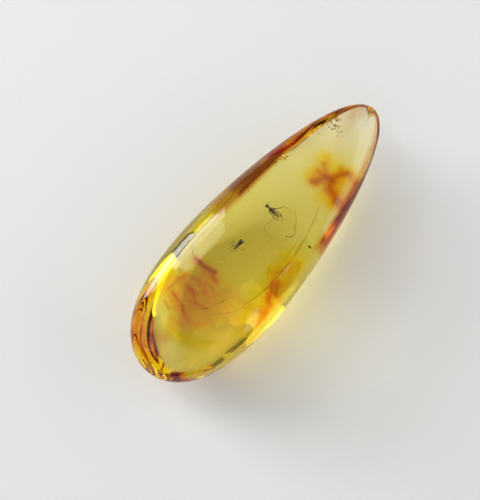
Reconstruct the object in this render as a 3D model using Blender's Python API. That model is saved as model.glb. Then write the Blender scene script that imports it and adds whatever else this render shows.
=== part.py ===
"""Gnat in amber: a polished drop of clear amber with two small flies sealed inside.

+X runs from the fat end to the tip, +Y to the long side whose rim lies higher, and +Z up.
The drop lies on a small flat spot at z = 0, with the origin under the middle of its box.
Lengths below are in millimetres. Each finished mesh is scaled to metres.
"""

import math

import bmesh
import bpy
from mathutils import Matrix, Vector

METRES_PER_MM = 0.001

# The drop, seen from above: a long round end and a slim tip
STONE_LENGTH = 36.0
HALF_WIDTH = 6.38  # at the middle of the length
WIDER_TO_FAT_END = 0.295
FULLER_ENDS = 0.12
SIDE_DIFFERENCE = 0.018  # the +Y side is this much fuller, the -Y side this much slimmer

# The drop, seen from its end: a broad low top over a deeper, rounder belly
TOP_RISE = 4.23
TOP_THICKER_TO_FAT_END = 0.40
TOP_FALL = 1.264  # power of the roundness: over 1 thins the ends
TOP_BROADNESS = 3.65  # 2 is a plain oval section, more is flatter with fuller shoulders
BELLY_DEPTH = 5.54
BELLY_THICKER_TO_FAT_END = 0.556
BELLY_FALL = 1.0
BELLY_BROADNESS = 2.057

# The +Y rim lies higher than the other near both ends, as on a stone that was only tumbled
SIDE_SLOPE = -0.025
SIDE_SLOPE_TO_FAT_END = -0.086
SIDE_SLOPE_AT_ENDS = 0.314
BELLY_SLOPE_EASING = 1.56  # how much of the belly's slope goes near its middle
FLAT_SPOT_DEPTH = 0.55  # how much of the belly's lowest point is worn flat

# Along the middle of the length, the -Y rim sags
SAG_DEPTH = 0.28  # share of the half width
SAG_MIDDLE = -2.2
SAG_HALF_LENGTH = 5.4
SAG_POWER = 1.34

STONE_SEGMENTS_ROUND = 56
STONE_SEGMENTS_LONG = 46

# The plane that parts the drop for its pockets, and the gap left along it
PARTING_HEIGHT = 5.4
GAP = 0.3

# Pockets: short round drums with rounded rims, one for each fly
POCKET_RIM = 0.4
POCKET_SEGMENTS = 28
GNAT_POCKET_RADIUS = 2.45
GNAT_POCKET_HEIGHT = 1.9
SMALL_POCKET_RADIUS = 1.45
SMALL_POCKET_HEIGHT = 1.5

# Where each fly's thorax is, which way its head points, and its size beside the larger fly
GNAT_PLACE = (2.87, 1.14, PARTING_HEIGHT)
GNAT_HEADING = 87.0
GNAT_SIZE = 1.0
GNAT_POCKET_CENTRE = (2.54, -0.08, PARTING_HEIGHT)
SMALL_PLACE = (-2.21, 1.25, PARTING_HEIGHT)
SMALL_HEADING = 178.0
SMALL_SIZE = 0.62
SMALL_POCKET_CENTRE = (-2.11, 1.28, PARTING_HEIGHT)

# A fly's body, in millimetres at size 1, with its head towards +X and the thorax at its origin
HEAD_CENTRE = (0.48, 0.0, -0.02)
HEAD_RADII = (0.14, 0.15, 0.15)
EYE_OFFSET = (0.03, 0.08, 0.03)
EYE_RADIUS = 0.10
NECK_LENGTH = 0.26
NECK_RADIUS = 0.05
THORAX_RADII = (0.32, 0.13, 0.17)
ABDOMEN_LENGTH = 1.05
ABDOMEN_RADIUS = 0.11
ABDOMEN_RINGS = 7
ABDOMEN_GROOVE = 0.08  # share of the radius lost between two rings
WING_LENGTH = 1.4
WING_HALF_WIDTH = 0.20
WING_THICKNESS = 0.05
WING_ROOT = (0.04, 0.05, 0.11)
WING_SPREAD = 8.0  # degrees from the body's line
WING_ROLL = 14.0
FEELER_RADIUS = 0.024
LEG_RADIUS = 0.045
LEG_FOOT_SHARE = 0.55  # the foot's radius as a share of the thigh's

# The larger fly's legs as they lie, each from its hip to its foot, in the fly's own frame
GNAT_LEGS = (
    # left hind leg: the long bow on the fat-end side
    ((-0.14, 0.05, -0.06), (-0.52, 0.16, 0.04), (-0.85, 0.38, 0.10), (-0.81, 0.99, 0.12),
     (-0.66, 1.45, 0.05), (-0.73, 1.78, 0.0), (-0.88, 1.89, -0.04), (-1.36, 1.99, -0.08),
     (-1.58, 1.96, -0.10), (-2.04, 1.96, -0.12), (-2.39, 1.64, -0.14), (-2.84, 1.65, -0.16)),
    # right hind leg: the long bow on the tip side, its foot curling back under the body's line
    ((-0.12, -0.05, -0.06), (-0.22, -0.20, -0.02), (-0.49, -0.69, 0.10), (-0.73, -1.11, 0.16),
     (-1.08, -1.23, 0.14), (-1.50, -1.27, 0.10), (-2.02, -1.50, 0.05), (-2.68, -0.89, 0.0),
     (-2.91, -0.41, -0.04), (-3.27, -0.07, -0.08), (-3.25, 0.32, -0.10), (-3.08, 0.60, -0.12),
     (-2.75, 0.83, -0.14), (-2.94, 1.04, -0.16), (-2.98, 1.30, -0.16)),
    # left middle leg: folded back beside the abdomen
    ((0.02, 0.05, -0.12), (-0.18, 0.24, -0.24), (-0.45, 0.36, -0.28), (-0.81, 0.48, -0.32),
     (-1.21, 0.37, -0.34)),
    # right middle leg: folded back on the other side
    ((0.02, -0.05, -0.12), (-0.50, -0.26, -0.22), (-0.88, -0.35, -0.26), (-1.29, -0.22, -0.28),
     (-1.65, 0.11, -0.30)),
    # left front leg: folded below the thorax
    ((0.16, 0.05, -0.10), (-0.05, 0.31, -0.30), (-0.33, 0.40, -0.38)),
    # right front leg: stretched under the hind thigh
    ((0.16, -0.05, -0.10), (-0.12, -0.24, -0.30), (-0.46, -0.57, -0.32), (-0.70, -0.92, -0.32)),
)
GNAT_FEELERS = (
    ((0.54, 0.05, 0.04), (0.72, 0.06, 0.10), (0.80, 0.18, 0.08)),
    ((0.54, -0.05, 0.04), (0.66, -0.22, 0.10), (0.62, -0.40, 0.06)),
)

# The smaller fly's legs: short, drawn up on both sides as if it had struggled
SMALL_LEGS = (
    ((-0.12, -0.05, -0.08), (-0.15, -0.49, 0.12), (-0.13, -1.02, 0.0), (0.27, -1.12, -0.10)),
    ((0.04, -0.05, -0.08), (0.24, -0.48, 0.08), (0.31, -0.97, -0.04), (0.73, -1.14, -0.14)),
    ((0.18, -0.05, -0.08), (0.50, -0.46, -0.20), (0.95, -0.67, -0.24), (1.31, -0.74, -0.28)),
    ((-0.04, 0.05, -0.08), (0.05, 0.61, 0.10), (-0.23, 1.08, 0.0), (-0.54, 1.29, -0.12)),
    ((0.14, 0.05, -0.08), (0.51, 0.40, -0.20), (1.00, 0.18, -0.24), (1.21, -0.30, -0.28)),
    ((-0.16, 0.05, -0.06), (-0.62, 0.22, -0.16), (-1.24, 0.04, -0.20), (-1.32, 0.26, -0.24),
     (-1.14, 0.67, -0.28)),
)
SMALL_FEELERS = (
    ((0.54, -0.05, 0.04), (0.70, -0.12, 0.10), (0.85, -0.29, 0.06)),
    ((0.54, 0.05, 0.04), (0.72, 0.12, 0.10), (0.92, 0.04, 0.06)),
)

# Finishes: colour, roughness, metallic
FINISHES = {
    "clear_amber": ((0.86, 0.62, 0.08, 1.0), 0.08, 0.0),
    "dark_chitin": ((0.045, 0.028, 0.012, 1.0), 0.5, 0.0),
}


def start_collections():
    """Clear the scene and make one collection for the parts and one for the cutters."""
    for old in list(bpy.data.objects):
        bpy.data.objects.remove(old, do_unlink=True)
    found = []
    for name in ("gnat_in_amber", "cutters"):
        collection = bpy.data.collections.new(name)
        bpy.context.scene.collection.children.link(collection)
        found.append(collection)
    return found


def finish_material(name):
    colour, roughness, metallic = FINISHES[name]
    material = bpy.data.materials.new(name)
    material.use_nodes = True
    shader = material.node_tree.nodes["Principled BSDF"]
    shader.inputs["Base Color"].default_value = colour
    shader.inputs["Roughness"].default_value = roughness
    shader.inputs["Metallic"].default_value = metallic
    return material


def new_object(name, bm, collection):
    """Turn a bmesh in millimetres into an object in metres."""
    mesh = bpy.data.meshes.new(name)
    bm.to_mesh(mesh)
    bm.free()
    mesh.transform(Matrix.Scale(METRES_PER_MM, 4))
    ob = bpy.data.objects.new(name, mesh)
    collection.objects.link(ob)
    return ob


def stone_point(direction):
    """Move a point of the unit ball, whose poles are the drop's two ends, onto the drop."""
    fat = -direction.x
    roundness = math.hypot(direction.y, direction.z)
    if roundness < 1e-6:
        return Vector((-fat * STONE_LENGTH / 2, 0.0, 0.0))
    along = -fat * STONE_LENGTH / 2
    half_width = HALF_WIDTH * roundness * (1 + WIDER_TO_FAT_END * fat + FULLER_ENDS * fat * fat)
    slope = (SIDE_SLOPE + SIDE_SLOPE_TO_FAT_END * fat + SIDE_SLOPE_AT_ENDS * fat * fat) * half_width
    if direction.z > 0:
        broadness = TOP_BROADNESS
        thickness = TOP_RISE * roundness ** TOP_FALL * (1 + TOP_THICKER_TO_FAT_END * fat)
        easing = 0.0
    else:
        broadness = BELLY_BROADNESS
        thickness = BELLY_DEPTH * roundness ** BELLY_FALL * (1 + BELLY_THICKER_TO_FAT_END * fat)
        easing = BELLY_SLOPE_EASING
    across = math.copysign(abs(direction.y / roundness) ** (2 / broadness), direction.y)
    up = math.copysign(abs(direction.z / roundness) ** (2 / broadness), direction.z)
    side = math.copysign(SIDE_DIFFERENCE, across)
    lift = slope * across * (1 + easing - easing * abs(across))
    if across < 0:
        bell = math.exp(-((along - SAG_MIDDLE) / SAG_HALF_LENGTH) ** 4)
        lift -= SAG_DEPTH * half_width * bell * abs(across) ** SAG_POWER
    return Vector((along, half_width * across * (1 + side), thickness * up + lift))


def stone_body():
    """The whole drop as a closed mesh in millimetres, worn flat where it rests."""
    bm = bmesh.new()
    bmesh.ops.create_uvsphere(
        bm, u_segments=STONE_SEGMENTS_ROUND, v_segments=STONE_SEGMENTS_LONG, radius=1.0
    )
    bmesh.ops.rotate(bm, verts=bm.verts, matrix=Matrix.Rotation(math.pi / 2, 3, "Y"))
    for vert in bm.verts:
        vert.co = stone_point(vert.co)
    flat_height = min(vert.co.z for vert in bm.verts) + FLAT_SPOT_DEPTH
    keep_above(bm, flat_height)
    sides = [vert.co.y for vert in bm.verts]
    middle = (min(sides) + max(sides)) / 2
    bmesh.ops.translate(bm, vec=(0.0, -middle, -flat_height), verts=bm.verts)
    return bm


def keep_above(bm, height, flip=1):
    """Cut a closed mesh level and cap the cut, keeping the part above, or below where flip is -1."""
    geometry = bm.verts[:] + bm.edges[:] + bm.faces[:]
    bmesh.ops.bisect_plane(
        bm, geom=geometry, dist=1e-6, plane_co=(0, 0, height), plane_no=(0, 0, -flip), clear_outer=True
    )
    bmesh.ops.holes_fill(bm, edges=[edge for edge in bm.edges if edge.is_boundary])
    bmesh.ops.recalc_face_normals(bm, faces=bm.faces)


def amber_half(name, flip, material, collection):
    """One half of the drop: flip 1 is the upper half, flip -1 the lower."""
    bm = stone_body()
    keep_above(bm, PARTING_HEIGHT + flip * GAP / 2, flip)
    ob = new_object(name, bm, collection)
    ob.data.materials.append(material)
    ob.data.shade_smooth()
    ob.data.set_sharp_from_angle(angle=math.radians(35))
    return ob


def pocket_cutter(name, centre, radius, height, collection):
    """A drum with rounded rims that hollows both halves round one fly."""
    bm = bmesh.new()
    bmesh.ops.create_cone(
        bm, cap_ends=True, segments=POCKET_SEGMENTS, radius1=radius, radius2=radius, depth=height
    )
    rims = [edge for edge in bm.edges if abs(edge.verts[0].co.z - edge.verts[1].co.z) < 1e-6]
    bmesh.ops.bevel(
        bm, geom=rims, offset=POCKET_RIM, segments=2, profile=0.5, affect="EDGES", material=-1
    )
    bmesh.ops.translate(bm, vec=centre, verts=bm.verts)
    cutter = new_object(name, bm, collection)
    cutter.hide_render = True
    cutter.display_type = "WIRE"
    return cutter


def cut(ob, cutter):
    modifier = ob.modifiers.new("cut_" + cutter.name, "BOOLEAN")
    modifier.operation = "DIFFERENCE"
    modifier.solver = "EXACT"
    modifier.object = cutter


def ball(centre, radii, segments=12, rings=8):
    """A squashed ball lying along the body."""
    bm = bmesh.new()
    bmesh.ops.create_uvsphere(bm, u_segments=segments, v_segments=rings, radius=1.0)
    bmesh.ops.rotate(bm, verts=bm.verts, matrix=Matrix.Rotation(math.pi / 2, 3, "Y"))
    bmesh.ops.scale(bm, vec=radii, verts=bm.verts)
    bmesh.ops.translate(bm, vec=centre, verts=bm.verts)
    return bm


def neck():
    """A short rod from the thorax into the head."""
    bm = bmesh.new()
    bmesh.ops.create_cone(
        bm, cap_ends=True, segments=10, radius1=NECK_RADIUS, radius2=NECK_RADIUS, depth=NECK_LENGTH
    )
    bmesh.ops.rotate(bm, verts=bm.verts, matrix=Matrix.Rotation(math.pi / 2, 3, "Y"))
    bmesh.ops.translate(bm, vec=(HEAD_CENTRE[0] - NECK_LENGTH / 2, 0.0, 0.0), verts=bm.verts)
    return bm


def abdomen():
    """A long tapering belly with a shallow groove between its rings."""
    bm = ball((0, 0, 0), (1, 1, 1), segments=12, rings=3 * ABDOMEN_RINGS)
    for vert in bm.verts:
        along = (1 - vert.co.x) / 2
        ring_wave = 0.5 - 0.5 * math.cos(2 * math.pi * ABDOMEN_RINGS * along)
        taper = (1.05 - 0.55 * along) * (1 - ABDOMEN_GROOVE * (1 - ring_wave))
        droop = -0.10 * along * along
        vert.co.x = -0.12 - ABDOMEN_LENGTH * along
        vert.co.y *= ABDOMEN_RADIUS * taper
        vert.co.z = vert.co.z * ABDOMEN_RADIUS * taper + droop
    return bm


def wing(side):
    """A flat drop-shaped wing that lies back over the abdomen; side is 1 for left, -1 for right."""
    bm = bmesh.new()
    bmesh.ops.create_circle(bm, cap_ends=True, segments=26, radius=1.0)
    for vert in bm.verts:
        along = (1 - vert.co.x) / 2
        vert.co.x = -WING_LENGTH * along
        vert.co.y *= WING_HALF_WIDTH * (0.45 + 0.75 * along)
    face = bm.faces[:]
    lifted = bmesh.ops.extrude_face_region(bm, geom=face)
    top = [item for item in lifted["geom"] if isinstance(item, bmesh.types.BMVert)]
    bmesh.ops.translate(bm, vec=(0, 0, WING_THICKNESS), verts=top)
    turn = Matrix.Rotation(math.radians(-side * WING_SPREAD), 3, "Z")
    roll = Matrix.Rotation(math.radians(-side * WING_ROLL), 3, "X")
    bmesh.ops.rotate(bm, verts=bm.verts, matrix=turn @ roll)
    bmesh.ops.translate(bm, vec=(WING_ROOT[0], side * WING_ROOT[1], WING_ROOT[2]), verts=bm.verts)
    bmesh.ops.recalc_face_normals(bm, faces=bm.faces)
    return bm


def limb(points, radius, foot_share):
    """A thin jointed tube through the points, slimmer towards its foot."""
    curve = bpy.data.curves.new("limb", "CURVE")
    curve.dimensions = "3D"
    curve.bevel_depth = radius
    curve.bevel_resolution = 1
    curve.use_fill_caps = True
    spline = curve.splines.new("POLY")
    spline.points.add(len(points) - 1)
    for step, (place, point) in enumerate(zip(points, spline.points)):
        point.co = (*place, 1.0)
        point.radius = 1 - (1 - foot_share) * step / (len(points) - 1)
    guide = bpy.data.objects.new("limb", curve)
    bpy.context.scene.collection.objects.link(guide)
    evaluated = guide.evaluated_get(bpy.context.evaluated_depsgraph_get())
    mesh = bpy.data.meshes.new_from_object(evaluated)
    bm = bmesh.new()
    bm.from_mesh(mesh)
    bmesh.ops.remove_doubles(bm, verts=bm.verts, dist=1e-5)
    bmesh.ops.recalc_face_normals(bm, faces=bm.faces)
    bpy.data.objects.remove(guide, do_unlink=True)
    bpy.data.meshes.remove(mesh)
    return bm


def fuse(shapes):
    """Join closed shapes that overlap into one closed bmesh, in millimetres."""
    scene = bpy.context.scene
    objects = []
    for number, shape in enumerate(shapes):
        mesh = bpy.data.meshes.new("shape_%02d" % number)
        shape.to_mesh(mesh)
        shape.free()
        ob = bpy.data.objects.new(mesh.name, mesh)
        scene.collection.objects.link(ob)
        objects.append(ob)
    trunk = objects[0]
    for ob in objects[1:]:
        modifier = trunk.modifiers.new(ob.name, "BOOLEAN")
        modifier.operation = "UNION"
        modifier.solver = "EXACT"
        modifier.object = ob
    evaluated = trunk.evaluated_get(bpy.context.evaluated_depsgraph_get())
    joined = bpy.data.meshes.new_from_object(evaluated)
    bm = bmesh.new()
    bm.from_mesh(joined)
    for ob in objects:
        bpy.data.objects.remove(ob, do_unlink=True)
    return bm


def fly(name, place, heading, size, legs, feelers, material, collection):
    """One fly with body, wings, feelers and legs grown together as a single solid."""
    shapes = [ball((0, 0, 0), THORAX_RADII, segments=16, rings=10), neck(), ball(HEAD_CENTRE, HEAD_RADII)]
    for side in (1, -1):
        eye = (HEAD_CENTRE[0] + EYE_OFFSET[0], side * EYE_OFFSET[1], HEAD_CENTRE[2] + EYE_OFFSET[2])
        shapes.append(ball(eye, (EYE_RADIUS, EYE_RADIUS, EYE_RADIUS), segments=10, rings=6))
    shapes.append(abdomen())
    shapes += [wing(side) for side in (1, -1)]
    shapes += [limb(points, LEG_RADIUS, LEG_FOOT_SHARE) for points in legs]
    shapes += [limb(points, FEELER_RADIUS, LEG_FOOT_SHARE) for points in feelers]
    bm = fuse(shapes)
    turn = Matrix.Rotation(math.radians(heading), 4, "Z")
    bmesh.ops.transform(bm, matrix=Matrix.Translation(place) @ turn @ Matrix.Scale(size, 4), verts=bm.verts)
    ob = new_object(name, bm, collection)
    ob.data.materials.clear()
    ob.data.materials.append(material)
    ob.data.shade_smooth()
    ob.data.set_sharp_from_angle(angle=math.radians(40))
    return ob


def main():
    parts, cutters = start_collections()
    amber = finish_material("clear_amber")
    chitin = finish_material("dark_chitin")
    pockets = (
        pocket_cutter("gnat_pocket", GNAT_POCKET_CENTRE, GNAT_POCKET_RADIUS, GNAT_POCKET_HEIGHT, cutters),
        pocket_cutter("small_pocket", SMALL_POCKET_CENTRE, SMALL_POCKET_RADIUS, SMALL_POCKET_HEIGHT, cutters),
    )
    for name, flip in (("amber_upper", 1), ("amber_lower", -1)):
        half = amber_half(name, flip, amber, parts)
        for pocket in pockets:
            cut(half, pocket)
    fly("gnat", GNAT_PLACE, GNAT_HEADING, GNAT_SIZE, GNAT_LEGS, GNAT_FEELERS, chitin, parts)
    fly("small_gnat", SMALL_PLACE, SMALL_HEADING, SMALL_SIZE, SMALL_LEGS, SMALL_FEELERS, chitin, parts)


main()
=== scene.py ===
"""The looks of a polished drop of clear amber with two small flies sealed inside.

Lengths are in millimetres unless a name says otherwise, and meshes are scaled to metres at the end.
+X runs from the fat end to the tip, +Y to the long side whose rim lies higher, +Z up.
"""

import math
import random

import bmesh
import bpy
from mathutils import Matrix, Vector, noise


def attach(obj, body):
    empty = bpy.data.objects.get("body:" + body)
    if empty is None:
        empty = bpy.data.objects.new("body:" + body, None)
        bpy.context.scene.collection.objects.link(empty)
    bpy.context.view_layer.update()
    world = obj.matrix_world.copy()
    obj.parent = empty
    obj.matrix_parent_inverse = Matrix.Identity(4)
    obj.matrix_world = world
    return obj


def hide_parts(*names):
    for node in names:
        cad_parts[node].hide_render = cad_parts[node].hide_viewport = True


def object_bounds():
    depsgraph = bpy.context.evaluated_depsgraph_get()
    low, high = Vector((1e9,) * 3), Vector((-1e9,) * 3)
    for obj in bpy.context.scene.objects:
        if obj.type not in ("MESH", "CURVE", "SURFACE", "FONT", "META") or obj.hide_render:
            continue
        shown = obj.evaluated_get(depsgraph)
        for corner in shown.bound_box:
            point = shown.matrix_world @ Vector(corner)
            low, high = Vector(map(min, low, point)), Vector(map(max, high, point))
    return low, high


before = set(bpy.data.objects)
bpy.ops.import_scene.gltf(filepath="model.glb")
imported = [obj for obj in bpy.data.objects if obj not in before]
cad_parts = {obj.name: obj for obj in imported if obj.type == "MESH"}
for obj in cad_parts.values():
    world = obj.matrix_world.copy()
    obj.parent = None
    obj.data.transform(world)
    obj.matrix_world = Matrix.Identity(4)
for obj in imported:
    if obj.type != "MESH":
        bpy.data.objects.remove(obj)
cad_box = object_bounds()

METRES_PER_MM = 0.001
TINY = 1e-6  # what is nearer than this counts as the same place

# The drop, the same shape as the solid halves that it replaces
STONE_LENGTH = 36.0
HALF_WIDTH = 6.38
WIDER_TO_FAT_END = 0.295
FULLER_ENDS = 0.12
SIDE_DIFFERENCE = 0.018
TOP_RISE = 4.23
TOP_THICKER_TO_FAT_END = 0.40
TOP_FALL = 1.264
TOP_BROADNESS = 3.65
BELLY_DEPTH = 5.54
BELLY_THICKER_TO_FAT_END = 0.556
BELLY_FALL = 1.0
BELLY_BROADNESS = 2.057
SIDE_SLOPE = -0.025
SIDE_SLOPE_TO_FAT_END = -0.086
SIDE_SLOPE_AT_ENDS = 0.314
BELLY_SLOPE_EASING = 1.56
FLAT_SPOT_DEPTH = 0.55
SAG_DEPTH = 0.28
SAG_MIDDLE = -2.2
SAG_HALF_LENGTH = 5.4
SAG_SQUARENESS = 4
SAG_POWER = 1.34
SKIN_MESH = 180  # faces round the drop, and along it

# Tumbling leaves the skin very slightly wavy: broad waves with finer ones on them
WAVE_HEIGHT = 0.015
WAVE_LENGTH = 6.0
WAVE_PATCH = Vector((3.1, 7.7, 1.3))  # which part of the endless noise the waves are taken from
FINE_WAVE_SHARE = 0.5
FINE_WAVES_PER_WAVE = 2.3
FINE_WAVE_PATCH = Vector((9.1, 2.7, 5.3))
WAVE_START = 0.02  # from this height the waves grow over one millimetre, so the worn spot stays flat

# What amber does to light: how far it bends it, and what it lets through of red, green and blue
AMBER_IOR = 1.54
AMBER_TINT = (0.996, 0.937, 0.001, 1.0)
AMBER_DENSITY = 170.0  # per metre

# The flies as they lie in the solids: thorax, heading in degrees, size, and how clear the wings are
FLIES = {
    "gnat": ((2.87, 1.14, 5.4), 87.0, 1.0, 0.96),
    "small_gnat": ((-2.21, 1.25, 5.4), 178.0, 0.62, 0.3),
}

# Camera: almost straight above, turned so that the tip points to the picture's upper right
CAMERA_AZIMUTH = 220.7
CAMERA_ELEVATION = 88.0
CAMERA_DISTANCE = 288.75
CAMERA_LENS = 200.0
CAMERA_SHIFT = (-0.0399, -0.0208)
SENSOR_WIDTH = 36.0


def clamp(value):
    """Keep a value between 0 and 1."""
    return max(0.0, min(1.0, value))


def towards(azimuth, elevation):
    """The unit vector towards an azimuth and an elevation in degrees."""
    a, e = math.radians(azimuth), math.radians(elevation)
    return Vector((math.cos(a) * math.cos(e), math.sin(a) * math.cos(e), math.sin(e)))


def linear(hex_colour):
    """A colour written as sRGB hex, as linear values."""
    found = []
    for start in (0, 2, 4):
        value = int(hex_colour[start:start + 2], 16) / 255
        found.append(value / 12.92 if value <= 0.04045 else ((value + 0.055) / 1.055) ** 2.4)
    return (*found, 1.0)


def new_material(name):
    """An empty material with its output node."""
    material = bpy.data.materials.new(name)
    material.use_nodes = True
    material.node_tree.nodes.clear()
    output = material.node_tree.nodes.new("ShaderNodeOutputMaterial")
    return material, material.node_tree, output


def node(tree, kind, settings=None, **links):
    """Add a node with its settings and links.

    A link's name is an input's name with _ for spaces, or "in" and its number; its value is a socket
    or a constant. The setting "stops" fills a colour ramp with places and colours.
    """
    made = tree.nodes.new(kind)
    for key, value in (settings or {}).items():
        if key == "stops":
            while len(made.color_ramp.elements) < len(value):
                made.color_ramp.elements.new(0.5)
            for step, (place, colour) in zip(made.color_ramp.elements, value):
                step.position = place
                step.color = colour
        else:
            setattr(made, key, value)
    for key, value in links.items():
        socket = made.inputs[int(key[2:])] if key[:2] == "in" else made.inputs[key.replace("_", " ")]
        if isinstance(value, bpy.types.NodeSocket):
            tree.links.new(value, socket)
        else:
            socket.default_value = value
    return made


def finish_piece(name, bm, material):
    """Turn a bmesh in millimetres into a smooth piece in metres that rides on the stone."""
    mesh = bpy.data.meshes.new(name)
    bm.to_mesh(mesh)
    bm.free()
    mesh.transform(Matrix.Scale(METRES_PER_MM, 4))
    mesh.polygons.foreach_set("use_smooth", [True] * len(mesh.polygons))
    mesh.materials.append(material)
    piece = bpy.data.objects.new(name, mesh)
    bpy.context.scene.collection.objects.link(piece)
    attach(piece, "root")
    return piece


def stone_point(direction):
    """Move a point of the unit ball, whose poles are the drop's two ends, onto the drop."""
    fat = -direction.x
    roundness = math.hypot(direction.y, direction.z)
    along = -fat * STONE_LENGTH / 2
    if roundness < TINY:
        return Vector((along, 0.0, 0.0))
    half_width = HALF_WIDTH * roundness * (1 + WIDER_TO_FAT_END * fat + FULLER_ENDS * fat * fat)
    slope = (SIDE_SLOPE + SIDE_SLOPE_TO_FAT_END * fat + SIDE_SLOPE_AT_ENDS * fat * fat) * half_width
    if direction.z > 0:
        broadness = TOP_BROADNESS
        thickness = TOP_RISE * roundness ** TOP_FALL * (1 + TOP_THICKER_TO_FAT_END * fat)
        easing = 0.0
    else:
        broadness = BELLY_BROADNESS
        thickness = BELLY_DEPTH * roundness ** BELLY_FALL * (1 + BELLY_THICKER_TO_FAT_END * fat)
        easing = BELLY_SLOPE_EASING
    across = math.copysign(abs(direction.y / roundness) ** (2 / broadness), direction.y)
    up = math.copysign(abs(direction.z / roundness) ** (2 / broadness), direction.z)
    side = math.copysign(SIDE_DIFFERENCE, across)
    lift = slope * across * (1 + easing - easing * abs(across))
    if across < 0:
        bell = math.exp(-((along - SAG_MIDDLE) / SAG_HALF_LENGTH) ** SAG_SQUARENESS)
        lift -= SAG_DEPTH * half_width * bell * abs(across) ** SAG_POWER
    return Vector((along, half_width * across * (1 + side), thickness * up + lift))


def waviness(place):
    """How high the waves are at a place, as a share of their height."""
    place = place / WAVE_LENGTH
    fine = noise.noise(place * FINE_WAVES_PER_WAVE + FINE_WAVE_PATCH)
    return noise.noise(place + WAVE_PATCH) + FINE_WAVE_SHARE * fine


def stone_body(segments, even_mesh=False):
    """The whole drop in millimetres, worn flat where it rests, with its faint waves.

    The worn spot is one face, or keeps the ball's mesh where that is asked for.
    """
    bm = bmesh.new()
    bmesh.ops.create_uvsphere(bm, u_segments=segments, v_segments=segments, radius=1.0)
    bmesh.ops.rotate(bm, verts=bm.verts, matrix=Matrix.Rotation(math.pi / 2, 3, "Y"))
    for vert in bm.verts:
        vert.co = stone_point(vert.co)
    flat_height = min(vert.co.z for vert in bm.verts) + FLAT_SPOT_DEPTH
    if even_mesh:
        for vert in bm.verts:
            vert.co.z = max(vert.co.z, flat_height)
    else:
        geometry = bm.verts[:] + bm.edges[:] + bm.faces[:]
        bmesh.ops.bisect_plane(
            bm, geom=geometry, dist=TINY, plane_co=(0, 0, flat_height), plane_no=(0, 0, -1), clear_outer=True
        )
        bmesh.ops.holes_fill(bm, edges=[edge for edge in bm.edges if edge.is_boundary])
        bmesh.ops.recalc_face_normals(bm, faces=bm.faces)
    sides = [vert.co.y for vert in bm.verts]
    middle = (min(sides) + max(sides)) / 2
    bmesh.ops.translate(bm, vec=(0.0, -middle, -flat_height), verts=bm.verts)
    bm.normal_update()
    for vert in bm.verts:
        growth = clamp(vert.co.z - WAVE_START)
        vert.co += vert.normal * waviness(vert.co) * WAVE_HEIGHT * growth
    return bm


def polished_amber():
    """Succinite, the common clear amber, tumbled to a wet-looking polish.

    It takes hardly any red, some green and most of the blue on the way through, so thin places look
    pale yellow and long ways through the stone look deep golden.
    """
    material, tree, output = new_material("polished_clear_amber")
    where = node(tree, "ShaderNodeTexCoord").outputs["Object"]
    ripple = node(tree, "ShaderNodeTexNoise", Vector=where, Scale=700.0, Detail=1.0)
    skin = node(tree, "ShaderNodeBump", Height=ripple.outputs["Fac"], Strength=0.03, Distance=0.0001)
    shader = node(
        tree, "ShaderNodeBsdfPrincipled", Base_Color=(1, 1, 1, 1), Roughness=0.0, IOR=AMBER_IOR,
        Transmission_Weight=1.0, Normal=skin.outputs["Normal"]
    )
    tree.links.new(shader.outputs[0], output.inputs["Surface"])
    inside = node(tree, "ShaderNodeVolumeAbsorption", Color=AMBER_TINT, Density=AMBER_DENSITY)
    tree.links.new(inside.outputs[0], output.inputs["Volume"])
    return material


def clear_drop():
    """The whole stone as one clear piece."""
    piece = finish_piece("clear_drop", stone_body(SKIN_MESH), polished_amber())
    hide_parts("amber_upper", "amber_lower")


def camera_stand():
    """Where the camera is, in metres, and how it is turned."""
    low, high = cad_box
    back = towards(CAMERA_AZIMUTH, CAMERA_ELEVATION)
    place = Vector((0.0, 0.0, (low.z + high.z) / 2)) + back * CAMERA_DISTANCE * METRES_PER_MM
    return place, (-back).to_track_quat("-Z", "Y")


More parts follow.
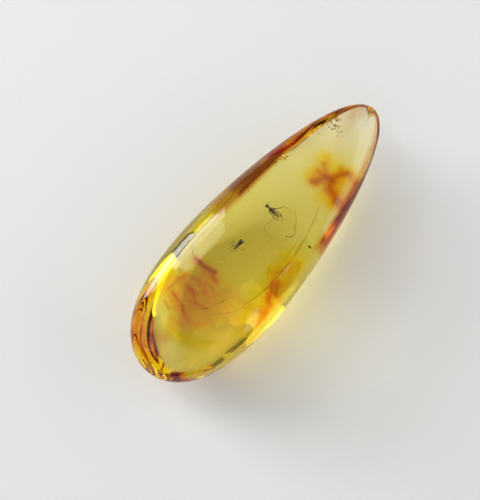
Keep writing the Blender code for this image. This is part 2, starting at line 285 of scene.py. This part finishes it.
# Remnants of crust under the polish, as strokes: start, end, half width and depth of colour
FAT_END_GLOW = (
    ((-7.45, 1.55), (-7.6, 0.42), 0.94, 0.94),
    ((-8.6, 3.15), (-8.84, 1.6), 1.04, 0.90),
    ((-10.19, 2.91), (-10.65, 1.62), 0.83, 0.95),
    ((-10.09, 0.97), (-8.8, 0.51), 1.04, 0.90),
    ((-11.33, 0.59), (-10.81, -0.54), 0.83, 0.74),
    ((-6.4, 1.89), (-6.38, 0.56), 0.62, 0.90),
    ((-9.64, 3.84), (-7.8, -0.65), 1.77, 0.57),
    ((-11.94, 0.52), (-9.89, -1.1), 1.04, 0.66),
    ((-6.05, 3.32), (-5.92, 1.86), 0.42, 0.74),
)
FAT_END_SEAMS = (
    ((-5.85, 3.61), (-5.87, 2.58), 0.26, 0.91),
    ((-5.87, 2.58), (-5.74, 1.12), 0.35, 0.85),
    ((-5.79, 1.97), (-6.33, 0.5), 0.26, 0.68),
    ((-8.56, 2.06), (-8.51, 1.21), 0.18, 0.62),
    ((-8.51, 1.21), (-7.6, 0.42), 0.18, 0.56),
    ((-8.73, 1.47), (-9.39, 0.68), 0.17, 0.56),
    ((-9.39, 0.68), (-9.07, -0.62), 0.17, 0.56),
    ((-9.13, -0.41), (-9.05, -0.71), 0.24, 0.79),
    ((-10.04, 3.27), (-10.35, 1.54), 0.15, 0.68),
    ((-10.35, 1.54), (-11.02, 0.74), 0.15, 0.68),
    ((-11.25, 3.24), (-11.54, 2.39), 0.12, 0.56),
    ((-8.74, 3.71), (-7.7, 3.14), 0.24, 0.46),
    ((-7.7, 3.14), (-7.36, 1.97), 0.24, 0.40),
    ((-8.51, 2.78), (-8.56, 2.06), 0.18, 0.52),
    ((-7.75, 1.64), (-6.96, 0.97), 0.20, 0.40),
    ((-6.96, 0.97), (-7.14, 0.14), 0.20, 0.40),
    ((-9.58, 1.41), (-9.39, 0.68), 0.17, 0.52),
    ((-8.37, -0.25), (-9.07, -0.62), 0.18, 0.40),
    ((-10.19, 3.7), (-9.05, 3.67), 0.20, 0.46),
    ((-12.07, 0.41), (-11.14, -0.03), 0.22, 0.34),
    ((-10.65, 1.62), (-11.0, 0.2), 0.26, 0.29),
)
TIP_GLOW = (
    ((9.4, -0.86), (9.09, -2.03), 1.91, 0.40),
    ((8.45, 0.07), (10.21, -2.17), 1.20, 0.48),
    ((8.66, -1.63), (7.8, -2.93), 1.08, 0.53),
    ((10.19, 0.4), (9.48, -0.98), 1.08, 0.38),
    ((7.83, -2.85), (7.3, -1.83), 1.08, 0.34),
)
TIP_SEAMS = (
    ((7.83, -0.01), (8.81, -0.9), 0.57, 0.74),
    ((8.94, -0.91), (10.66, -2.0), 0.48, 0.74),
    ((9.9, 0.31), (8.98, -0.55), 0.45, 0.55),
    ((8.81, -1.0), (7.68, -2.91), 0.62, 0.74),
    ((10.67, -1.45), (10.42, -2.29), 0.40, 0.55),
    ((8.9, 0.24), (8.79, -0.71), 0.43, 0.55),
    ((8.79, -0.71), (9.01, -1.35), 0.81, 0.87),
)
EDGE_GLOW = (
    ((-2.37, -4.07), (-4.11, -4.66), 0.62, 0.90),
    ((-2.06, -4.94), (-3.4, -4.96), 0.73, 0.75),
    ((-1.73, -3.52), (0.38, -4.88), 0.62, 0.60),
    ((-4.75, -5.22), (-6.61, -5.69), 0.73, 0.75),
    ((-3.44, -5.68), (-5.28, -5.91), 0.73, 0.75),
    ((-0.08, -4.36), (-5.75, -5.63), 1.25, 0.45),
)
EDGE_SEAMS = (
    ((-2.27, -4.44), (-3.27, -4.85), 0.31, 0.63),
    ((-3.83, -4.2), (-4.64, -5.35), 0.26, 0.56),
    ((-2.74, -4.16), (-4.11, -4.66), 0.31, 0.56),
    ((-4.64, -5.35), (-5.75, -5.63), 0.26, 0.42),
)
STROKE_REACH = 3.0  # how many half widths from its middle a stroke still counts
CRUST_INSET = 0.12  # how far below the polish the remnants lie
CRUST_MESH = 260
FAINTEST_CRUST = 0.004  # what is stained less than this is left bare
ROUGH_FRAY = ((0.28, 0.9), (0.14, 2.6))  # how ragged: two sizes of noise, reach and how many per mm
FINE_FRAY = ((0.10, 1.7), (0.06, 5.0))
TOP_STAIN_START = 0.5  # the upper side's stains start where the skin's upward normal is more than this
TOP_STAIN_SOFTNESS = 0.2

# Brown skin on the steep wall above the rim: from, to along the length, side, depth of colour
RIM_BROWN = (
    (-1.0, 3.0, 1, 0.6),
    (1.5, 11.5, 1, 1.1),
    (10.0, 14.0, 1, 0.7),
    (13.0, 18.0, 1, 0.45),
    (3.3, 11.5, -1, 0.8),
    (11.5, 18.0, -1, 0.4),
    (-16.8, -13.2, 1, 0.6),
)
RIM_FADE = 1.6  # how softly each stretch of it ends
RIM_SIDE_FADE = 1.2  # how softly it ends towards the drop's middle line,
RIM_SIDE_SHARE = 0.2  # where this share of its colour is left
FAR_WALL_START = 0.965  # the wall is brown where its upward normal is less than this, on the +Y side
NEAR_WALL_START = 0.85  # and on the -Y side,
NEAR_WALL_FOOT = 0.25  # where the brown also ends above the rim
WALL_SOFTNESS = 0.05
FOOT_SOFTNESS = 0.1
LONG_STREAKS = Vector((0.25, 1.6, 1.6))  # noise per millimetre along each axis
SHORT_STREAKS = Vector((0.7, 4.0, 4.0))
STREAK_MIDDLE = 0.85
STREAK_STRENGTH = 0.3


def stroke_strength(ragged, strokes):
    """How deeply the strokes stain a place seen from above."""
    most = 0.0
    for (x1, y1), (x2, y2), half_width, depth in strokes:
        dx, dy = x2 - x1, y2 - y1
        share = clamp(((ragged.x - x1) * dx + (ragged.y - y1) * dy) / (dx * dx + dy * dy))
        gap = math.hypot(ragged.x - x1 - dx * share, ragged.y - y1 - dy * share) / half_width
        if gap < STROKE_REACH:
            most = max(most, depth * math.exp(-gap * gap))
    return most


def frayed(place, fray):
    """A place moved by noise, which makes the edges of the stains ragged."""
    moved = place.copy()
    for reach, fineness in fray:
        moved += reach * noise.noise_vector(place * fineness)
    return moved


def rim_strength(place, normal):
    """How brown the steep wall is, with streaks along the stone."""
    if normal.z < 0.0:
        return 0.0
    if place.y > 0:
        steepness = clamp((FAR_WALL_START - normal.z) / WALL_SOFTNESS)
    else:
        steepness = clamp((NEAR_WALL_START - normal.z) / WALL_SOFTNESS)
        steepness *= clamp((normal.z - NEAR_WALL_FOOT) / FOOT_SOFTNESS)
    streaks = noise.noise(place * LONG_STREAKS) + noise.noise(place * SHORT_STREAKS)
    streaks = STREAK_MIDDLE + STREAK_STRENGTH * streaks
    most = 0.0
    for start, end, side, depth in RIM_BROWN:
        inside = clamp(min(place.x - start, end - place.x) / RIM_FADE + 0.5)
        across = clamp(place.y * side / RIM_SIDE_FADE + RIM_SIDE_SHARE)
        most = max(most, depth * inside * across)
    return max(0.0, most * steepness * streaks)


def crust_material():
    """Oxidised crust under the polish: golden where thin, orange to red-brown in the seams."""
    material, tree, output = new_material("oxidised_amber_crust")
    where = node(tree, "ShaderNodeTexCoord").outputs["Object"]
    mottle = node(tree, "ShaderNodeTexNoise", Vector=where, Scale=900.0, Detail=3.0, Roughness=0.6)
    glow = node(tree, "ShaderNodeAttribute", {"attribute_name": "glow"}).outputs["Fac"]
    seams = node(tree, "ShaderNodeAttribute", {"attribute_name": "seams"}).outputs["Fac"]
    rim = node(tree, "ShaderNodeAttribute", {"attribute_name": "rim"}).outputs["Fac"]
    uneven = node(tree, "ShaderNodeMapRange", Value=mottle.outputs["Fac"],
                  From_Min=0.3, From_Max=0.7, To_Min=0.75, To_Max=1.2)
    patchy = node(tree, "ShaderNodeMath", {"operation": "MULTIPLY"}, in0=glow, in1=uneven.outputs[0])
    golden = node(tree, "ShaderNodeValToRGB", {"stops": (
        (0.0, (1.0, 1.0, 1.0, 1.0)),
        (0.25, (1.0, 0.87, 0.12, 1.0)),
        (0.45, (1.0, 0.74, 0.03, 1.0)),
        (1.0, (1.0, 0.52, 0.003, 1.0)),
    )}, Fac=patchy.outputs[0])
    red = node(tree, "ShaderNodeValToRGB", {"stops": (
        (0.0, (1.0, 1.0, 1.0, 1.0)),
        (0.35, (0.95, 0.72, 0.45, 1.0)),
        (0.60, (0.84, 0.44, 0.25, 1.0)),
        (1.0, (0.44, 0.14, 0.13, 1.0)),
    )}, Fac=seams)
    brown = node(tree, "ShaderNodeValToRGB", {"stops": (
        (0.0, (1.0, 1.0, 1.0, 1.0)),
        (0.3, (0.93, 0.70, 0.52, 1.0)),
        (0.6, (0.78, 0.38, 0.26, 1.0)),
        (1.0, (0.38, 0.10, 0.04, 1.0)),
    )}, Fac=rim)
    multiply = {"data_type": "RGBA", "blend_type": "MULTIPLY"}
    two = node(tree, "ShaderNodeMix", multiply, in0=1.0, in6=golden.outputs[0], in7=red.outputs[0])
    tint = node(tree, "ShaderNodeMix", multiply, in0=1.0, in6=two.outputs[2], in7=brown.outputs[0])
    clear = node(tree, "ShaderNodeBsdfTransparent", Color=tint.outputs[2])
    tree.links.new(clear.outputs[0], output.inputs["Surface"])
    return material


def old_crust():
    """The crust's remnants: thin patches that follow the stone's skin just inside the polish."""
    bm = stone_body(CRUST_MESH, even_mesh=True)
    bm.normal_update()
    glow = bm.verts.layers.float.new("glow")
    seams = bm.verts.layers.float.new("seams")
    rim = bm.verts.layers.float.new("rim")
    moves = {}
    for vert in bm.verts:
        rough = frayed(vert.co, ROUGH_FRAY)
        if vert.normal.z < 0:
            vert[glow] = stroke_strength(rough, TIP_GLOW)
            vert[seams] = stroke_strength(rough, TIP_SEAMS)
        else:
            fine = frayed(vert.co, FINE_FRAY)
            on_top = clamp((vert.normal.z - TOP_STAIN_START) / TOP_STAIN_SOFTNESS)
            vert[glow] = on_top * stroke_strength(rough, FAT_END_GLOW + EDGE_GLOW)
            vert[seams] = on_top * max(
                stroke_strength(fine, FAT_END_SEAMS), stroke_strength(rough, EDGE_SEAMS)
            )
        vert[rim] = rim_strength(vert.co, vert.normal)
        moves[vert] = vert.normal * CRUST_INSET
    for vert, move in moves.items():
        vert.co -= move
    bare = []
    for face in bm.faces:
        if all(vert[glow] + vert[seams] + vert[rim] < FAINTEST_CRUST for vert in face.verts):
            bare.append(face)
    bmesh.ops.delete(bm, geom=bare, context="FACES")
    finish_piece("old_crust", bm, crust_material())


THREAD_END = 0.25  # a thread's radius at its ends, as a share of the middle's
WELD = 1e-5


def thread(points, radius):
    """A closed thin tube through the points, thinner to its ends, as a bmesh in millimetres."""
    curve = bpy.data.curves.new("thread", "CURVE")
    curve.dimensions = "3D"
    curve.bevel_depth = radius
    curve.bevel_resolution = 2
    curve.use_fill_caps = True
    spline = curve.splines.new("NURBS")
    spline.points.add(len(points) - 1)
    spline.order_u = 3
    spline.use_endpoint_u = True
    spline.resolution_u = 6
    for step, (place, point) in enumerate(zip(points, spline.points)):
        share = step / (len(points) - 1)
        point.co = (*place, 1.0)
        point.radius = THREAD_END + (1 - THREAD_END) * math.sqrt(math.sin(math.pi * share))
    guide = bpy.data.objects.new("thread", curve)
    bpy.context.scene.collection.objects.link(guide)
    evaluated = guide.evaluated_get(bpy.context.evaluated_depsgraph_get())
    mesh = bpy.data.meshes.new_from_object(evaluated)
    bm = bmesh.new()
    bm.from_mesh(mesh)
    bmesh.ops.remove_doubles(bm, verts=bm.verts, dist=WELD)
    bmesh.ops.recalc_face_normals(bm, faces=bm.faces)
    bpy.data.objects.remove(guide, do_unlink=True)
    bpy.data.meshes.remove(mesh)
    bpy.data.curves.remove(curve)
    return bm


def gather(shapes):
    """Put several bmeshes together as one."""
    whole = bmesh.new()
    for shape in shapes:
        mesh = bpy.data.meshes.new("shape")
        shape.to_mesh(mesh)
        shape.free()
        whole.from_mesh(mesh)
        bpy.data.meshes.remove(mesh)
    return whole


# Threads in the stone: height, radius, and the places from above that they run through
FLOW_LINES = (
    (3.2, 0.085, ((6.4, -2.1), (5.61, -2.47), (4.46, -2.69), (3.42, -2.85), (2.19, -2.86), (0.67, -2.93),
                  (-0.87, -2.91), (-2.3, -2.93), (-3.7, -2.87), (-5.46, -2.68), (-6.96, -2.5))),
    (3.3, 0.030, ((3.0, -2.43), (2.16, -2.44), (0.95, -2.46), (-0.32, -2.56), (-1.36, -2.76))),
    (2.7, 0.045, ((-9.63, 0.62), (-8.87, -0.32), (-8.23, -0.65), (-7.59, -0.96), (-6.81, -1.19), (-5.72, -1.55))),
    (2.6, 0.035, ((-9.63, -0.32), (-8.88, -1.24), (-8.16, -2.05), (-7.41, -2.48), (-6.36, -2.68))),
    (5.3, 0.022, ((0.66, -0.61), (-0.23, -0.57), (-1.22, -0.55))),
)
CRACK_LINES = (
    (5.4, 0.030, ((-5.0, 4.39), (-5.46, 4.15), (-5.78, 3.68), (-6.09, 3.24))),
    (5.4, 0.028, ((-4.30, 1.57), (-4.07, 1.40), (-4.01, 1.20), (-4.16, 1.02))),
    (5.4, 0.018, ((-4.70, 2.00), (-4.76, 2.10), (-4.86, 2.27))),
    (5.4, 0.015, ((-4.42, 0.93), (-4.30, 1.05), (-4.22, 1.20))),
)

# Bubbles and grains: place and radius
BUBBLES = (
    (13.87, 2.04, 4.70, 0.13), (13.73, 2.29, 4.62, 0.10), (14.00, 1.70, 4.75, 0.11), (14.38, 2.11, 4.80, 0.14),
    (13.36, 1.94, 4.60, 0.09), (13.30, 2.28, 4.58, 0.07), (14.12, 2.37, 4.72, 0.09), (14.62, 1.85, 4.85, 0.07),
    (13.62, 1.80, 4.66, 0.08), (14.20, 1.87, 4.62, 0.06), (13.98, 2.53, 4.66, 0.06), (14.55, 2.33, 4.74, 0.05),
    (13.50, 1.47, 4.62, 0.05), (13.12, 1.17, 4.60, 0.05), (13.80, 1.07, 4.64, 0.04),
    (7.53, 3.46, 4.90, 0.09), (7.88, 3.35, 4.86, 0.12), (8.17, 3.28, 4.92, 0.08), (7.72, 3.20, 4.84, 0.05),
)
GRAINS = (
    (2.89, -3.70, 4.7, 0.11), (3.06, 4.01, 5.6, 0.055), (3.30, 3.91, 5.6, 0.04), (2.85, 3.76, 5.6, 0.045),
    (-1.45, -2.70, 2.8, 0.045), (-1.05, -3.07, 2.8, 0.045), (-1.33, -3.04, 2.8, 0.035),
    (13.75, 1.51, 4.7, 0.06), (13.71, 1.10, 4.7, 0.055), (13.49, 1.18, 4.7, 0.045), (13.78, 1.91, 4.7, 0.05),
    (12.1, 2.5, 4.7, 0.04), (6.2, 3.7, 5.0, 0.035), (9.6, 3.3, 4.8, 0.03), (-8.67, -0.42, 0.9, 0.07),
)
BUBBLE_SCALE = 1.6  # every bubble is this many times as large as listed
BUBBLE_DENTS = 0.12  # how deep its dents are, as a share of its radius,
BUBBLE_DENTS_PER_RADIUS = 0.8  # how close together they lie,
BUBBLE_PATCH = 3.0  # and how far apart in the noise two bubbles take them from
GRAIN_DENTS = 0.7
GRAIN_DENTS_PER_RADIUS = 1.3
GRAIN_PATCH = 5.0


def flow_material():
    """Seam between two flows of resin, a little darker and greyer than the amber round it."""
    material, tree, output = new_material("resin_flow_seam")
    where = node(tree, "ShaderNodeTexCoord").outputs["Object"]
    broken = node(tree, "ShaderNodeTexNoise", Vector=where, Scale=500.0, Detail=2.0)
    tint = node(tree, "ShaderNodeValToRGB", {"stops": (
        (0.40, (0.87, 0.82, 0.55, 1.0)),
        (0.70, (0.96, 0.94, 0.84, 1.0)),
    )}, Fac=broken.outputs["Fac"])
    clear = node(tree, "ShaderNodeBsdfTransparent", Color=tint.outputs[0])
    tree.links.new(clear.outputs[0], output.inputs["Surface"])
    return material


def crack_material():
    """Hair crack stained dark by what seeped into it."""
    material, tree, output = new_material("stained_hair_crack")
    where = node(tree, "ShaderNodeTexCoord").outputs["Object"]
    broken = node(tree, "ShaderNodeTexNoise", Vector=where, Scale=2500.0, Detail=2.0)
    tint = node(tree, "ShaderNodeValToRGB", {"stops": (
        (0.35, (0.30, 0.16, 0.07, 1.0)),
        (0.70, (0.85, 0.72, 0.50, 1.0)),
    )}, Fac=broken.outputs["Fac"])
    clear = node(tree, "ShaderNodeBsdfTransparent", Color=tint.outputs[0])
    tree.links.new(clear.outputs[0], output.inputs["Surface"])
    return material


def bubble_material():
    """Air in amber: the light bends the other way, so each bubble has a dark rim and a bright middle."""
    material, tree, output = new_material("air_bubble")
    where = node(tree, "ShaderNodeTexCoord").outputs["Object"]
    film = node(tree, "ShaderNodeTexNoise", Vector=where, Scale=6000.0, Detail=1.0)
    skin = node(tree, "ShaderNodeBump", Height=film.outputs["Fac"], Strength=0.15, Distance=0.00002)
    shader = node(tree, "ShaderNodeBsdfGlass", IOR=0.65, Roughness=0.0, Normal=skin.outputs["Normal"])
    tree.links.new(shader.outputs[0], output.inputs["Surface"])
    return material


def grain_material():
    """Black forest dust and droppings, dull and rough."""
    material, tree, output = new_material("dark_plant_grain")
    where = node(tree, "ShaderNodeTexCoord").outputs["Object"]
    mottle = node(tree, "ShaderNodeTexNoise", Vector=where, Scale=9000.0, Detail=3.0)
    colour = node(tree, "ShaderNodeValToRGB", {"stops": ((0.3, linear("0c0804")), (0.7, linear("2c1c0c")))},
                  Fac=mottle.outputs["Fac"])
    shader = node(tree, "ShaderNodeBsdfPrincipled", Base_Color=colour.outputs[0], Roughness=0.8)
    tree.links.new(shader.outputs[0], output.inputs["Surface"])
    return material


def threads(lines):
    """All the threads of one kind, as one bmesh."""
    tubes = []
    for height, radius, points in lines:
        tubes.append(thread([(x, y, height) for x, y in points], radius))
    return gather(tubes)


def lumps(marks, scale, dents, dents_per_radius, patch):
    """All the bubbles or grains, as one bmesh of dented balls."""
    bm = bmesh.new()
    for x, y, z, radius in marks:
        own_patch = Vector((x * patch, y * patch, z))
        lump = bmesh.ops.create_icosphere(bm, subdivisions=3, radius=radius * scale)["verts"]
        for vert in lump:
            vert.co *= 1 + dents * noise.noise(vert.co / radius * dents_per_radius + own_patch)
        bmesh.ops.translate(bm, vec=(x, y, z), verts=lump)
    return bm


def inner_bits():
    """Bubbles, grains, flow seams and hair cracks between the polish and the flies."""
    finish_piece("flow_seams", threads(FLOW_LINES), flow_material())
    finish_piece("hair_cracks", threads(CRACK_LINES), crack_material())
    bubbles = lumps(BUBBLES, BUBBLE_SCALE, BUBBLE_DENTS, BUBBLE_DENTS_PER_RADIUS, BUBBLE_PATCH)
    finish_piece("air_bubbles", bubbles, bubble_material())
    grains = lumps(GRAINS, 1.0, GRAIN_DENTS, GRAIN_DENTS_PER_RADIUS, GRAIN_PATCH)
    finish_piece("dark_grains", grains, grain_material())


# Where a fly is see-through, in its own frame at size 1, each as the start and the end of a soft edge
WING_LEVEL = (0.114, 0.124)  # the wings lie above this height,
WING_TILT = 0.25  # which is lower by this much for each millimetre to the side,
WING_ROOTS = (-0.10, -0.20)  # and behind this
LEG_ASIDE = (0.18, 0.60)
LEG_BEHIND = (-1.2, -1.5)
LEG_CLEARNESS = 0.3
VEIN_CELLS = 5.0  # how many cells of a wing's net of veins go on a millimetre
VEIN_EDGE = (0.02, 0.06)
VEIN_DARKENING = 0.2  # how much less clear a wing is along its veins


def fly_material(name):
    """Dark dried cuticle with thin see-through wings and horn-brown legs that let some light pass."""
    place, heading, size, wing_clearness = FLIES[name]
    material, tree, output = new_material("dried_cuticle_" + name)
    where = node(tree, "ShaderNodeTexCoord").outputs["Object"]
    mottle = node(tree, "ShaderNodeTexNoise", Vector=where, Scale=9000.0, Detail=3.0)
    colour = node(tree, "ShaderNodeValToRGB", {"stops": ((0.3, linear("120b04")), (0.7, linear("33210e")))},
                  Fac=mottle.outputs["Fac"])
    body = node(tree, "ShaderNodeBsdfPrincipled", Base_Color=colour.outputs[0], Roughness=0.45, IOR=1.5)
    turn = math.radians(-heading)
    turned = Matrix.Rotation(turn, 3, "Z") @ Vector(place)
    scale = 1.0 / (size * METRES_PER_MM)
    own = node(tree, "ShaderNodeMapping", {"vector_type": "POINT"}, Vector=where,
               Location=-turned / size, Rotation=(0.0, 0.0, turn), Scale=(scale, scale, scale))
    axes = node(tree, "ShaderNodeSeparateXYZ", Vector=own.outputs[0])
    aside = node(tree, "ShaderNodeMath", {"operation": "ABSOLUTE"}, in0=axes.outputs["Y"])
    level = node(tree, "ShaderNodeMath", {"operation": "MULTIPLY_ADD"},
                 in0=aside.outputs[0], in1=WING_TILT, in2=axes.outputs["Z"])
    above = node(tree, "ShaderNodeMapRange", Value=level.outputs[0],
                 From_Min=WING_LEVEL[0], From_Max=WING_LEVEL[1], To_Min=0.0, To_Max=1.0)
    behind = node(tree, "ShaderNodeMapRange", Value=axes.outputs["X"],
                  From_Min=WING_ROOTS[0], From_Max=WING_ROOTS[1], To_Min=0.0, To_Max=1.0)
    wing = node(tree, "ShaderNodeMath", {"operation": "MULTIPLY"},
                in0=above.outputs[0], in1=behind.outputs[0])
    far_side = node(tree, "ShaderNodeMapRange", Value=aside.outputs[0],
                    From_Min=LEG_ASIDE[0], From_Max=LEG_ASIDE[1], To_Min=0.0, To_Max=LEG_CLEARNESS)
    far_back = node(tree, "ShaderNodeMapRange", Value=axes.outputs["X"],
                    From_Min=LEG_BEHIND[0], From_Max=LEG_BEHIND[1], To_Min=0.0, To_Max=LEG_CLEARNESS)
    leg = node(tree, "ShaderNodeMath", {"operation": "MAXIMUM"},
               in0=far_side.outputs[0], in1=far_back.outputs[0])
    veins = node(tree, "ShaderNodeTexVoronoi", {"feature": "DISTANCE_TO_EDGE"},
                 Vector=own.outputs[0], Scale=VEIN_CELLS)
    vein = node(tree, "ShaderNodeMapRange", Value=veins.outputs["Distance"],
                From_Min=VEIN_EDGE[0], From_Max=VEIN_EDGE[1],
                To_Min=wing_clearness - VEIN_DARKENING, To_Max=wing_clearness)
    thin = node(tree, "ShaderNodeMath", {"operation": "MULTIPLY"},
                in0=wing.outputs[0], in1=vein.outputs[0])
    clear_share = node(tree, "ShaderNodeMath", {"operation": "MAXIMUM"},
                       in0=thin.outputs[0], in1=leg.outputs[0])
    clear = node(tree, "ShaderNodeBsdfTransparent", Color=(0.95, 0.92, 0.85, 1.0))
    both = node(tree, "ShaderNodeMixShader", Fac=clear_share.outputs[0])
    tree.links.new(body.outputs[0], both.inputs[1])
    tree.links.new(clear.outputs[0], both.inputs[2])
    tree.links.new(both.outputs[0], output.inputs["Surface"])
    return material


# Bristles at size 1: how many each fly has and its random draw, where they grow, and their sizes
BRISTLES = {
    "gnat": (160, 5),
    "small_gnat": (90, 8),
}
BRISTLED_FROM = -1.1
BRISTLED_TO = 0.6
BRISTLED_HALF_WIDTH = 0.17
SMALLEST_FACE = 1e-10  # square metres
SHORTEST_BRISTLE = 0.05
LONGEST_BRISTLE = 0.12
BRISTLE_ROOT_RADIUS = 0.007
BRISTLE_TIP_RADIUS = 0.0015
BRISTLE_LEAN = 0.6
BRISTLE_ROOT_DEPTH = 0.01


def bristles(name):
    """Short dark hairs on one fly's body, each a closed cone that starts under the cuticle."""
    place, heading, size, _ = FLIES[name]
    count, seed = BRISTLES[name]
    draw = random.Random(seed)
    facing = Matrix.Rotation(math.radians(heading), 3, "Z").inverted()
    spots = []
    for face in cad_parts[name].data.polygons:
        centre = face.center / METRES_PER_MM
        own = facing @ (centre - Vector(place)) / size
        on_body = BRISTLED_FROM < own.x < BRISTLED_TO and abs(own.y) < BRISTLED_HALF_WIDTH
        if on_body and face.area > SMALLEST_FACE:
            spots.append((centre, face.normal))
    bm = bmesh.new()
    for _ in range(count):
        root, normal = spots[draw.randrange(len(spots))]
        lean = Vector([draw.uniform(-BRISTLE_LEAN, BRISTLE_LEAN) for _ in range(3)])
        out = (normal + lean).normalized()
        length = draw.uniform(SHORTEST_BRISTLE, LONGEST_BRISTLE) * size
        hair = bmesh.ops.create_cone(
            bm, cap_ends=True, segments=5, radius1=BRISTLE_ROOT_RADIUS * size,
            radius2=BRISTLE_TIP_RADIUS * size, depth=length
        )["verts"]
        turn = Vector((0, 0, 1)).rotation_difference(out).to_matrix()
        bmesh.ops.rotate(bm, verts=hair, matrix=turn)
        bmesh.ops.translate(bm, vec=root + out * (length / 2 - BRISTLE_ROOT_DEPTH), verts=hair)
    finish_piece("bristles_" + name, bm, grain_material())


def dress_flies():
    """Give both solid flies their cuticle and their bristles."""
    for name in FLIES:
        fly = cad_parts[name]
        fly.data.materials.clear()
        fly.data.materials.append(fly_material(name))
        bristles(name)


FLOOR_HALF_SIZE_M = 1.5
FLOOR_GAP_M = 0.00002


def paper_floor():
    """Matt white card."""
    material, tree, output = new_material("matt_white_card")
    where = node(tree, "ShaderNodeTexCoord").outputs["Object"]
    grain = node(tree, "ShaderNodeTexNoise", Vector=where, Scale=5000.0, Detail=2.0)
    colour = node(tree, "ShaderNodeValToRGB", {"stops": ((0.3, linear("f1f2f2")), (0.7, linear("f4f5f5")))},
                  Fac=grain.outputs["Fac"])
    shader = node(tree, "ShaderNodeBsdfPrincipled", Base_Color=colour.outputs[0], Roughness=0.9,
                  Specular_IOR_Level=0.2)
    tree.links.new(shader.outputs[0], output.inputs["Surface"])
    bm = bmesh.new()
    bmesh.ops.create_grid(bm, x_segments=1, y_segments=1, size=FLOOR_HALF_SIZE_M)
    bmesh.ops.translate(bm, vec=(0, 0, -FLOOR_GAP_M), verts=bm.verts)
    mesh = bpy.data.meshes.new("floor")
    bm.to_mesh(mesh)
    bm.free()
    mesh.materials.append(material)
    floor = bpy.data.objects.new("floor", mesh)
    bpy.context.scene.collection.objects.link(floor)


# Softboxes: azimuth and elevation as seen from the stone, degrees wide and tall, and radiance
SOFTBOXES = (
    ("low_left_window", 101.0, 17.0, 28.0, 20.0, 8.5),
    ("near_left_window", 97.0, 33.0, 28.0, 22.0, 3.6),
    ("left_window", 87.0, 46.0, 16.0, 22.0, 4.5),
    ("high_left_window", 87.0, 65.0, 13.0, 16.0, 2.0),
    ("right_window", -42.0, 26.0, 62.0, 32.0, 1.35),
    ("tip_window", 12.0, 18.0, 62.0, 22.0, 1.0),
    ("front_fill", 224.0, 30.0, 60.0, 40.0, 0.4),
    ("lower_left_fill", 162.0, 38.0, 50.0, 30.0, 0.45),
    ("overhead", 0.0, 90.0, 64.0, 64.0, 0.45),
)
SOFTBOX_DISTANCE_M = 0.5
SKY_RADIANCE = 0.12


def softbox(name, azimuth, elevation, wide, tall, radiance):
    """A flat panel of even light, facing the stone."""
    width = 2 * SOFTBOX_DISTANCE_M * math.tan(math.radians(wide / 2))
    height = 2 * SOFTBOX_DISTANCE_M * math.tan(math.radians(tall / 2))
    data = bpy.data.lights.new(name, "AREA")
    data.shape = "RECTANGLE"
    data.size = width
    data.size_y = height
    data.energy = radiance * math.pi * width * height
    lamp = bpy.data.objects.new(name, data)
    bpy.context.scene.collection.objects.link(lamp)
    out = towards(azimuth, elevation)
    lamp.location = out * SOFTBOX_DISTANCE_M
    lamp.rotation_mode = "QUATERNION"
    lamp.rotation_quaternion = (-out).to_track_quat("-Z", "Y")


def studio():
    """A faint even sky and the softboxes, which the polish shows as soft sheens."""
    world = bpy.data.worlds.new("studio")
    bpy.context.scene.world = world
    world.use_nodes = True
    background = world.node_tree.nodes["Background"]
    background.inputs["Color"].default_value = (SKY_RADIANCE, SKY_RADIANCE, SKY_RADIANCE, 1.0)
    for box in SOFTBOXES:
        softbox(*box)


def camera():
    """The camera where the photo's stood."""
    data = bpy.data.cameras.new("camera")
    data.lens = CAMERA_LENS
    data.sensor_width = SENSOR_WIDTH
    data.shift_x, data.shift_y = CAMERA_SHIFT
    view = bpy.data.objects.new("camera", data)
    bpy.context.scene.collection.objects.link(view)
    bpy.context.scene.camera = view
    view.rotation_mode = "QUATERNION"
    view.location, view.rotation_quaternion = camera_stand()


def light_paths():
    """Clear stone needs long paths of light, and a plain view transform keeps its colours."""
    scene = bpy.context.scene
    scene.cycles.max_bounces = 24
    scene.cycles.transmission_bounces = 24
    scene.cycles.glossy_bounces = 8
    scene.cycles.transparent_max_bounces = 32
    scene.cycles.caustics_refractive = True
    scene.cycles.caustics_reflective = True
    scene.cycles.blur_glossy = 0.3
    scene.cycles.use_denoising = True
    scene.view_settings.view_transform = "Standard"


def main():
    """Dress the solids and set up the studio."""
    clear_drop()
    old_crust()
    inner_bits()
    dress_flies()
    paper_floor()
    studio()
    camera()
    light_paths()


main()
